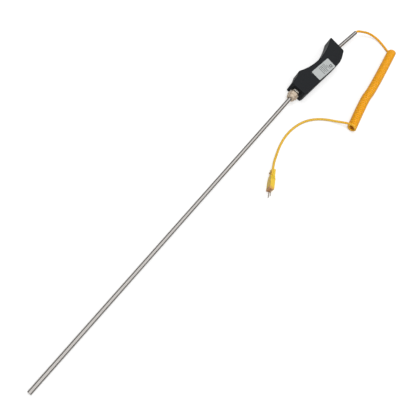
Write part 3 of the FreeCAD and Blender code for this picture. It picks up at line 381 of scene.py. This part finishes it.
LABEL = BarredFinish("label_foil", linear(178, 183, 183), linear(198, 201, 200), 0.0, (0.35, 0.5),
                     900.0, 0.00001, ink=linear(58, 58, 60), turn=(0.0, TILT, -5.94),
                     centre=(-0.283736, 0.0106, 0.025962), bars=LABEL_RULES + LABEL_BOX)
SCREW = Finish("screw_steel", linear(140, 140, 138), linear(176, 176, 172), 1.0, (0.3, 0.45))
DARK_SCREW = Finish("dark_screw", linear(176, 140, 84), linear(204, 168, 108), 0.6, (0.5, 0.6))
POWDER = Finish("mineral_powder", linear(214, 210, 200), linear(236, 232, 224), 0.0, (0.8, 0.95))
RESIN = Finish("potting_resin", linear(24, 24, 26), linear(38, 38, 40))
ALLOY = Finish("thermocouple_alloy", linear(150, 146, 140), linear(186, 182, 174), 1.0)
RUBBER = Finish("seal_rubber", linear(22, 22, 23), linear(36, 36, 37), 0.0, (0.6, 0.8))
NYLON = Finish("tie_nylon", linear(222, 222, 214), linear(238, 238, 232))
CRIMP = Finish("splice_metal", linear(176, 160, 120), linear(204, 190, 150), 1.0)
SLEEVE = Finish("core_sleeve", linear(206, 170, 60), linear(228, 196, 84))
BLADE = Finish("blade_alloy", linear(168, 158, 146), linear(196, 186, 174), 1.0, (0.26, 0.4))
# The plug's yellow fades to brown-orange at its front end: painted shade on the end face, which
# faces down and away from the light.
PLUG_PAINTED_SHADE = FadingFinish("plug_plastic", linear(236, 194, 44), linear(246, 210, 66), 0.0, (0.3, 0.42),
                    1500.0, 0.00003, coat=0.1, start=-0.0392, end=-0.0336,
                    far=linear(214, 150, 84))
CLAMP = Finish("clamp_plastic", linear(230, 182, 42), linear(242, 198, 60), 0.0, (0.3, 0.42),
               coat=0.1)
LEAD = FadingFinish("lead_jacket", linear(246, 166, 8), linear(254, 186, 16), 0.0, (0.3, 0.42),
                    700.0, 0.00002, coat=0.1, start=-0.245, end=-0.232, far=linear(240, 190, 52))

SLOT_FINISH: dict[str, Finish] = {
    "stainless_steel": STAINLESS, "mineral_powder": POWDER, "potting_resin": RESIN,
    "thermocouple_alloy": ALLOY, "seal_rubber": RUBBER, "nickel_plate": NICKEL,
    "nut_nickel": NUT_NICKEL, "ring_brass": RING_BRASS, "grip_plastic": GRIP, "screw_steel": SCREW,
    "label_foil": LABEL, "tie_nylon": NYLON, "splice_metal": CRIMP, "core_sleeve": SLEEVE,
    "lead_jacket": LEAD, "plug_plastic": PLUG_PAINTED_SHADE, "clamp_plastic": CLAMP,
    "clamp_screw_steel": DARK_SCREW, "blade_alloy": BLADE,
}

SLOTS: dict[str, str] = {row["node"]: row["material_slot"] for row in frame["record"]["subparts"]}


class SubAssembly:
    """Group of CAD nodes that belong together on the object.

    Attributes:
        title: Name for the log.
        nodes: Names of the group's CAD nodes that stay visible.
    """

    title = "sub-assembly"
    nodes: tuple[str, ...] = ()

    def dress(self) -> None:
        """Gives each of the group's nodes the finish of its material slot."""
        for name in self.nodes:
            node = frame["nodes"][name]
            node.data.materials.clear()
            node.data.materials.append(SLOT_FINISH[SLOTS[name]].material())
        LOG.info("%s: %d nodes dressed", self.title, len(self.nodes))

    def build(self) -> None:
        """Dresses the group's nodes; a group with pieces of its own makes them in its own build."""
        self.dress()


class Stem(SubAssembly):
    """The sheath with its tip, and the sensing parts inside it."""

    title = "stem"
    nodes = ("sheath_tube", "tip_cap", "sheath_insulation", "sheath_end_seal",
             "thermocouple_wire_positive", "thermocouple_wire_negative", "junction_bead")


class RidgeTree(SharedTree):
    """Geometry Nodes tree: equal rounded rings along X, one for each thread.

    Attributes:
        hoop_steps: Steps round each ring.
        bead_steps: Steps round a ring's own section.
    """

    name = "thread_ridges"
    kind = TreeKind.GEOMETRY
    hoop_steps = 72
    bead_steps = 8

    def fill(self, tree: bpy.types.NodeTree) -> None:
        """Adds the tree's named sockets and its nodes."""
        face = tree.interface
        face.new_socket("Geometry", in_out="OUTPUT", socket_type="NodeSocketGeometry")
        face.new_socket("Count", in_out="INPUT", socket_type="NodeSocketInt")
        for label in ("Start", "Pitch", "Ring Radius", "Ridge"):
            face.new_socket(label, in_out="INPUT", socket_type="NodeSocketFloat")
        face.new_socket("Finish", in_out="INPUT", socket_type="NodeSocketMaterial")
        nodes, links = tree.nodes, tree.links
        entry, leave = nodes.new("NodeGroupInput"), nodes.new("NodeGroupOutput")
        start, step = nodes.new("ShaderNodeCombineXYZ"), nodes.new("ShaderNodeCombineXYZ")
        line = nodes.new("GeometryNodeMeshLine")
        hoop, bead = (nodes.new("GeometryNodeCurvePrimitiveCircle") for _ in range(2))
        hoop.inputs["Resolution"].default_value = self.hoop_steps
        bead.inputs["Resolution"].default_value = self.bead_steps
        sweep, turned = nodes.new("GeometryNodeCurveToMesh"), nodes.new("GeometryNodeTransform")
        turned.inputs["Rotation"].default_value = (0.0, math.pi / 2, 0.0)
        spread = nodes.new("GeometryNodeInstanceOnPoints")
        real = nodes.new("GeometryNodeRealizeInstances")
        finish = nodes.new("GeometryNodeSetMaterial")
        links.new(entry.outputs["Start"], start.inputs["X"])
        links.new(entry.outputs["Pitch"], step.inputs["X"])
        links.new(entry.outputs["Count"], line.inputs["Count"])
        links.new(start.outputs[0], line.inputs["Start Location"])
        links.new(step.outputs[0], line.inputs["Offset"])
        links.new(entry.outputs["Ring Radius"], hoop.inputs["Radius"])
        links.new(entry.outputs["Ridge"], bead.inputs["Radius"])
        links.new(hoop.outputs["Curve"], sweep.inputs["Curve"])
        links.new(bead.outputs["Curve"], sweep.inputs["Profile Curve"])
        links.new(sweep.outputs["Mesh"], turned.inputs["Geometry"])
        links.new(line.outputs["Mesh"], spread.inputs["Points"])
        links.new(turned.outputs["Geometry"], spread.inputs["Instance"])
        links.new(spread.outputs["Instances"], real.inputs["Geometry"])
        links.new(real.outputs["Geometry"], finish.inputs["Geometry"])
        links.new(entry.outputs["Finish"], finish.inputs["Material"])
        links.new(finish.outputs["Geometry"], leave.inputs["Geometry"])

    def made(self, values: dict[str, object]) -> bpy.types.Mesh:
        """Runs the tree once and returns its result as a plain mesh.

        Args:
            values: Value of each named input.

        Returns:
            The mesh, with instances made real.
        """
        carrier = bpy.data.objects.new("ridges", bpy.data.meshes.new("ridges"))
        bpy.context.scene.collection.objects.link(carrier)
        maker = carrier.modifiers.new("ridges", "NODES")
        maker.node_group = self.tree()
        for item in maker.node_group.interface.items_tree:
            if item.in_out == "INPUT":
                maker[item.identifier] = values[item.name]
        graph = bpy.context.evaluated_depsgraph_get()
        mesh = bpy.data.meshes.new_from_object(carrier.evaluated_get(graph))
        bpy.data.objects.remove(carrier)
        return mesh


@dataclass
class Gland(SubAssembly):
    """Compression gland: gasket, threaded body, locknut, gripping ring and cap nut.

    Lengths run along the stem from the grip's front wall.

    Attributes:
        tail: Rear end of the threaded body, inside the grip.
        flange_back: Rear face of the hexagon flange.
        flange_front: Its front face.
        flat_radius: Half the flange's width across flats.
        corner_margin: Flat rim left outside that before the corners are broken.
        corner_slope: Length of the broken corners for each unit of height.
        neck_end: Front end of the threaded neck.
        root: Radius at the thread's root.
        crest: Radius at its crest.
        first_thread: Place of the first ridge.
        threads: Number of ridges.
        pitch: Distance between ridges.
        bore: Radius of the hole for the stem.
        seat_mouth: Radius of the cone seat at the neck's end.
        seat_depth: Its depth.
        sides: Steps round the axis.
        crease: Angle in degrees past which an edge stays sharp.
    """

    title = "gland"
    nodes = ("gland_gasket", "gland_locknut", "gland_gripping_ring", "gland_cap_nut")

    tail: float = -0.0082
    flange_back: float = 0.0008
    flange_front: float = 0.0046
    flat_radius: float = 0.008
    corner_margin: float = 0.00015
    corner_slope: float = 0.57
    neck_end: float = 0.013
    root: float = 0.0054
    crest: float = 0.006
    first_thread: float = 0.0054
    threads: int = 5
    pitch: float = 0.0015
    bore: float = 0.00355
    seat_mouth: float = 0.005
    seat_depth: float = 0.0028
    sides: int = 72
    crease: float = 35.0

    def hexagon(self, angle: float) -> float:
        """Returns the distance from the axis to the hexagon's side at an angle."""
        share = (angle % (math.pi / 3)) - math.pi / 6
        return self.flat_radius / math.cos(share)

    def stations(self, angle: float) -> list[tuple[float, float]]:
        """Returns the body's closed profile at an angle, as places and radii."""
        corner, rim = self.hexagon(angle), self.flat_radius + self.corner_margin
        broken = max(0.0, corner - rim) * self.corner_slope
        return [
            (self.tail, self.bore), (self.tail, self.root), (self.flange_back, self.root),
            (self.flange_back, corner), (self.flange_front - broken, corner),
            (self.flange_front, min(corner, rim)), (self.flange_front, self.root),
            (self.neck_end, self.root), (self.neck_end, self.seat_mouth),
            (self.neck_end - self.seat_depth, self.bore),
        ]

    def body(self) -> bpy.types.Object:
        """Makes the threaded body, which stands for the plain one. Returns its object."""
        shape = bmesh.new()
        rings = []
        for step in range(self.sides):
            angle = 2 * math.pi * step / self.sides
            rings.append([shape.verts.new((x, r * math.cos(angle), r * math.sin(angle)))
                          for x, r in self.stations(angle)])
        for here, after in zip(rings, rings[1:] + rings[:1]):
            for i, j in zip(range(len(here)), [*range(1, len(here)), 0]):
                shape.faces.new((here[i], here[j], after[j], after[i]))
        ridges = RidgeTree().made({
            "Count": self.threads, "Start": self.first_thread, "Pitch": self.pitch,
            "Ring Radius": self.root, "Ridge": self.crest - self.root, "Finish": NICKEL.material()})
        shape.from_mesh(ridges)
        bmesh.ops.recalc_face_normals(shape, faces=shape.faces)
        mesh = bpy.data.meshes.new("threaded_body")
        shape.to_mesh(mesh)
        shape.free()
        bpy.data.meshes.remove(ridges)
        mesh.transform(Matrix.Translation((FRONT_WALL, 0, AXIS_HEIGHT))
                       @ Matrix.Rotation(math.radians(TILT), 4, "Y"))
        mesh.materials.append(NICKEL.material())
        mesh.polygons.foreach_set("use_smooth", [True] * len(mesh.polygons))
        mesh.set_sharp_from_angle(angle=math.radians(self.crease))
        piece = bpy.data.objects.new("threaded_body", mesh)
        bpy.context.scene.collection.objects.link(piece)
        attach(piece, Body.PROBE.value)
        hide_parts("gland_body")
        return piece

    def build(self) -> None:
        """Makes the threaded body and dresses the other pieces."""
        LOG.info("threaded_body: %d faces", len(self.body().data.polygons))
        self.dress()


class Grip(SubAssembly):
    """Moulded grip: two shells, screws, label plate and the lead's guide tube."""

    title = "grip"
    nodes = ("handle_upper_shell", "handle_lower_shell", "handle_screws", "label_plate",
             "lead_guide_tube", "guide_tube_collars", "cord_inner_lead", "lead_tie", "wire_splices",
             "cord_cores")


class FlatPlug(SubAssembly):
    """Flat two-blade plug with its cable clamp."""

    title = "plug"
    nodes = ("plug_base", "plug_lid", "plug_blade_positive", "plug_blade_negative",
             "plug_terminal_screws", "plug_lid_screw", "plug_cable_clamp", "plug_clamp_screws",
             "plug_cores")


# --------------------------------------------------------------------------------------------
# Lead
# --------------------------------------------------------------------------------------------
@dataclass
class CurlyLead:
    """The free lead: a straight start, a moulded coil and a loose end in the plug.

    Attributes:
        diameter: Diameter of the lead.
        coil_radius: Radius of the coil's middle line.
        turns: Turns of the coil; it starts at the bottom and ends at the top.
        steps: Control points for each turn.
        length: Length of the whole lead; not used.
        route_steps: Steps between control points when the coil's middle line is read.
        bend_steps: Steps between control points of the lead itself.
        round_steps: Roundness of its section.
        upper: Control points from the guide tube to the coil.
        coil: Control points of the coil's middle line.
        lower: Control points from the coil to the plug.
    """

    diameter: float = 0.0042
    coil_radius: float = 0.0064
    turns: float = 48.5
    steps: int = 16
    length: float = 2.30
    route_steps: int = 48
    bend_steps: int = 3
    round_steps: int = 4
    upper: tuple[Point, ...] = (
        (-0.41426, 0.01032, 0.01533), (-0.4195, 0.0109, 0.0154), (-0.4255, 0.0148, 0.0144),
        (-0.4328, 0.0206, 0.0122), (-0.4400, 0.0263, 0.0101), (-0.4465, 0.0343, 0.0076),
        (-0.4512, 0.0430, 0.0052), (-0.4536, 0.0515, 0.0035), (-0.4537, 0.0600, 0.0024),
        (-0.4522, 0.0685, 0.0021), (-0.4499, 0.0765, 0.0021), (-0.4473, 0.0860, 0.0021),
    )
    coil: tuple[Point, ...] = (
        (-0.4465, 0.0882, 0.0085), (-0.3950, 0.0959, 0.0085), (-0.3330, 0.1036, 0.0085),
        (-0.3120, 0.1026, 0.0085), (-0.2400, 0.1166, 0.0085),
    )
    lower: tuple[Point, ...] = (
        (-0.2426, 0.1156, 0.0149), (-0.2416, 0.1065, 0.0108), (-0.2388, 0.0985, 0.0070),
        (-0.2335, 0.0890, 0.0042), (-0.2270, 0.0783, 0.0026), (-0.2180, 0.0668, 0.0021),
        (-0.2055, 0.0556, 0.0021), (-0.1900, 0.0460, 0.0021), (-0.1720, 0.0397, 0.0021),
        (-0.1520, 0.0365, 0.0021), (-0.1320, 0.0368, 0.0021), (-0.1130, 0.0404, 0.0021),
        (-0.0980, 0.0448, 0.0032), (-0.0855, 0.0480, 0.0066), (-0.0758, 0.0512, 0.00815),
        (-0.05417, 0.06297, 0.00815),
    )

    def spline(self, name: str, points: list[Point], resolution: int) -> bpy.types.Object:
        """Makes a curve object with one smooth open spline through its control points' pull.

        Args:
            name: Name of the object.
            points: Control points, in metres.
            resolution: Steps between control points.

        Returns:
            The curve object.
        """
        data = bpy.data.curves.new(name, "CURVE")
        data.dimensions = "3D"
        data.resolution_u = resolution
        line = data.splines.new("NURBS")
        line.points.add(len(points) - 1)
        for point, where in zip(line.points, points):
            point.co = (*where, 1)
        line.order_u = 3
        line.use_endpoint_u = True
        made = bpy.data.objects.new(name, data)
        bpy.context.scene.collection.objects.link(made)
        return made

    def middle_line(self) -> list[Vector]:
        """Returns points along the coil's middle, read from its own smooth route."""
        route = self.spline("coil_route", list(self.coil), self.route_steps)
        mesh = bpy.data.meshes.new_from_object(route)
        points = [vertex.co.copy() for vertex in mesh.vertices]
        bpy.data.meshes.remove(mesh)
        bpy.data.objects.remove(route)
        return points

    def helix(self) -> list[Point]:
        """Returns the coil's control points, wound round its middle line."""
        line = self.middle_line()
        reach = [0.0]
        for last, here in zip(line, line[1:]):
            reach.append(reach[-1] + (here - last).length)
        count = round(self.turns * self.steps)
        radius = self.coil_radius / math.cos(math.pi / self.steps)
        points, index = [], 0
        for step in range(count + 1):
            along = reach[-1] * step / count
            while index < len(line) - 2 and reach[index + 1] < along:
                index += 1
            run = line[index + 1] - line[index]
            share = (along - reach[index]) / run.length
            heading = run.normalized()
            side = Vector((0, 0, 1)).cross(heading).normalized()
            upward = heading.cross(side)
            angle = 2 * math.pi * step / self.steps
            offset = upward * -math.cos(angle) + side * math.sin(angle)
            points.append(tuple(line[index] + run * share + offset * radius))
        return points

    def build(self) -> bpy.types.Object:
        """Returns its object."""
        points = [*self.upper, *self.helix()[1:-1], *self.lower]
        lead = self.spline("curly_lead", points, self.bend_steps)
        lead.data.bevel_depth = self.diameter / 2
        lead.data.bevel_resolution = self.round_steps
        lead.data.use_fill_caps = True
        lead.data.materials.append(LEAD.material())
        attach(lead, Body.PROBE.value)
        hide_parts("cord_upper_lead", "cord_coil", "cord_lower_lead")
        LOG.info("curly_lead: %d control points", len(points))
        return lead


# --------------------------------------------------------------------------------------------
# Studio: floor, world, lamps, camera
# --------------------------------------------------------------------------------------------
@dataclass(frozen=True)
class Lamp:
    """One soft square lamp, aimed at the middle of the object.

    Attributes:
        name: Name of the lamp.
        place: Its position.
        size: Its side.
        watts: Its power.
    """

    name: str
    place: Point
    size: float
    watts: float

    def build(self) -> None:
        """Makes the lamp. Gloss shows the surround and not the lamp."""
        data = bpy.data.lights.new(self.name, "AREA")
        data.size, data.energy = self.size, self.watts
        lamp = bpy.data.objects.new(self.name, data)
        lamp.location = self.place
        lamp.visible_glossy = False
        lamp.rotation_euler = (-Vector(self.place)).to_track_quat("-Z", "Y").to_euler()
        bpy.context.scene.collection.objects.link(lamp)


@dataclass
class Studio:
    """Pale floor, soft light and the camera.

    Attributes:
        place: Camera position.
        elevation: Camera elevation above the table, in degrees.
        heading: Direction of view on the table, in degrees from +X.
        roll: Turn of the image about the direction of view, in degrees.
        lens: Focal length, in millimetres.
        clip: Nearest and farthest distance that the camera shows.
        floor_half: Half the floor's side.
        floor_drop: Gap that keeps the floor clear of the object's lowest faces.
        floor_shade: How much light the floor scatters.
        floor_glow: The floor's own glow, to the camera.
        floor_in_gloss: Share of the floor's glow that gloss shows.
        horizon: Height share below which gloss shows the dark low surround.
        low_gloss: Brightness of the low surround in gloss.
        zenith: Height share above which gloss shows the bright overhead.
        top_gloss: Brightness overhead in gloss.
        surround_light: Light that the surround gives.
        lamps: The lamps.
    """

    place: Point = (0.39999, 0.01126, 0.73394)
    elevation: float = 65.0
    heading: float = 178.3
    roll: float = 42.67
    lens: float = 45.0
    clip: tuple[float, float] = (0.01, 50.0)
    floor_half: float = 4.0
    floor_drop: float = 0.0002
    floor_shade: float = 0.6
    floor_glow: float = 0.55
    floor_in_gloss: float = 0.2
    horizon: float = 0.52
    zenith: float = 0.62
    low_gloss: float = 0.03
    top_gloss: float = 1.15
    surround_light: float = 0.45
    lamps: tuple[Lamp, ...] = (
        Lamp("key", (-0.2, -0.3, 1.9), 1.3, 18),
        Lamp("fill", (0.5, 1.2, 1.4), 1.4, 6),
    )

    def camera(self) -> None:
        """Makes the camera and sets it as the scene's."""
        turn, drop = math.radians(self.heading), math.radians(self.elevation)
        ahead = Vector((math.cos(turn), math.sin(turn), 0))
        right = Vector((math.sin(turn), -math.cos(turn), 0))
        look = ahead * math.cos(drop) - Vector((0, 0, 1)) * math.sin(drop)
        up = ahead * math.sin(drop) + Vector((0, 0, 1)) * math.cos(drop)
        spin = math.radians(self.roll)
        image_right = up * math.sin(spin) + right * math.cos(spin)
        image_up = up * math.cos(spin) - right * math.sin(spin)
        data = bpy.data.cameras.new("view")
        data.lens, data.sensor_width = self.lens, SENSOR
        data.clip_start, data.clip_end = self.clip
        view = bpy.data.objects.new("view", data)
        view.matrix_world = Matrix.Translation(self.place) @ Matrix(
            (image_right, image_up, -look)).transposed().to_4x4()
        bpy.context.scene.collection.objects.link(view)
        bpy.context.scene.camera = view

    def floor(self) -> None:
        """Makes the pale floor, which keeps the object's shadow."""
        half = self.floor_half
        mesh = bpy.data.meshes.new("floor")
        corners = [(-half, -half, 0), (half, -half, 0), (half, half, 0), (-half, half, 0)]
        mesh.from_pydata(corners, [], [(0, 1, 2, 3)])
        floor = bpy.data.objects.new("floor", mesh)
        floor.location.z = -self.floor_drop
        bpy.context.scene.collection.objects.link(floor)
        material = bpy.data.materials.new("floor")
        material.use_nodes = True
        nodes, links = material.node_tree.nodes, material.node_tree.links
        nodes.clear()
        matt, glow = nodes.new("ShaderNodeBsdfDiffuse"), nodes.new("ShaderNodeEmission")
        matt.inputs["Color"].default_value = (*[self.floor_shade] * 3, 1)
        add, leave = nodes.new("ShaderNodeAddShader"), nodes.new("ShaderNodeOutputMaterial")
        rays = nodes.new("ShaderNodeLightPath")
        seen = nodes.new("ShaderNodeMath")
        seen.operation = "MAXIMUM"
        level = nodes.new("ShaderNodeMath")
        level.operation = "MULTIPLY"
        level.inputs[1].default_value = self.floor_glow
        dim = nodes.new("ShaderNodeMath")
        dim.operation = "MULTIPLY"
        dim.inputs[1].default_value = self.floor_in_gloss
        links.new(rays.outputs["Is Camera Ray"], seen.inputs[0])
        links.new(rays.outputs["Is Glossy Ray"], dim.inputs[0])
        links.new(dim.outputs[0], seen.inputs[1])
        links.new(seen.outputs[0], level.inputs[0])
        links.new(level.outputs[0], glow.inputs["Strength"])
        links.new(matt.outputs[0], add.inputs[0])
        links.new(glow.outputs[0], add.inputs[1])
        links.new(add.outputs[0], leave.inputs["Surface"])
        mesh.materials.append(material)

    def world(self) -> None:
        """Sets the surround: white to the camera, bright overhead and darker low down in gloss."""
        world = bpy.data.worlds.new("surround")
        world.use_nodes = True
        bpy.context.scene.world = world
        nodes, links = world.node_tree.nodes, world.node_tree.links
        back = nodes["Background"]
        back.inputs["Color"].default_value = (1, 1, 1, 1)
        rays = nodes.new("ShaderNodeLightPath")
        place, parts = nodes.new("ShaderNodeTexCoord"), nodes.new("ShaderNodeSeparateXYZ")
        height = nodes.new("ShaderNodeMapRange")
        height.inputs["From Min"].default_value = self.horizon
        height.inputs["From Max"].default_value = self.zenith
        height.inputs["To Min"].default_value = self.low_gloss
        height.inputs["To Max"].default_value = self.top_gloss
        soft = nodes.new("ShaderNodeMix")
        soft.inputs[FLOAT_A].default_value = self.surround_light
        seen = nodes.new("ShaderNodeMath")
        seen.operation = "MAXIMUM"
        full = nodes.new("ShaderNodeMix")
        full.inputs[FLOAT_B].default_value = 1.0
        links.new(place.outputs["Generated"], parts.inputs["Vector"])
        links.new(parts.outputs["Z"], height.inputs["Value"])
        links.new(rays.outputs["Is Glossy Ray"], soft.inputs["Factor"])
        links.new(height.outputs["Result"], soft.inputs[FLOAT_B])
        links.new(rays.outputs["Is Camera Ray"], seen.inputs[0])
        links.new(rays.outputs["Is Transmission Ray"], seen.inputs[1])
        links.new(seen.outputs[0], full.inputs["Factor"])
        links.new(soft.outputs[MIXED_FLOAT], full.inputs[FLOAT_A])
        links.new(full.outputs[MIXED_FLOAT], back.inputs["Strength"])

    def build(self) -> None:
        """Makes the whole studio."""
        bpy.context.scene.view_settings.view_transform = "Standard"
        self.floor()
        self.world()
        for lamp in self.lamps:
            lamp.build()
        self.camera()


def main() -> None:
    """Builds every piece in order."""
    logging.basicConfig(level=logging.INFO, format="%(message)s")
    Studio().build()
    CurlyLead().build()
    for group in (Stem(), Gland(), Grip(), FlatPlug()):
        group.build()


if __name__ == "__main__":
    main()
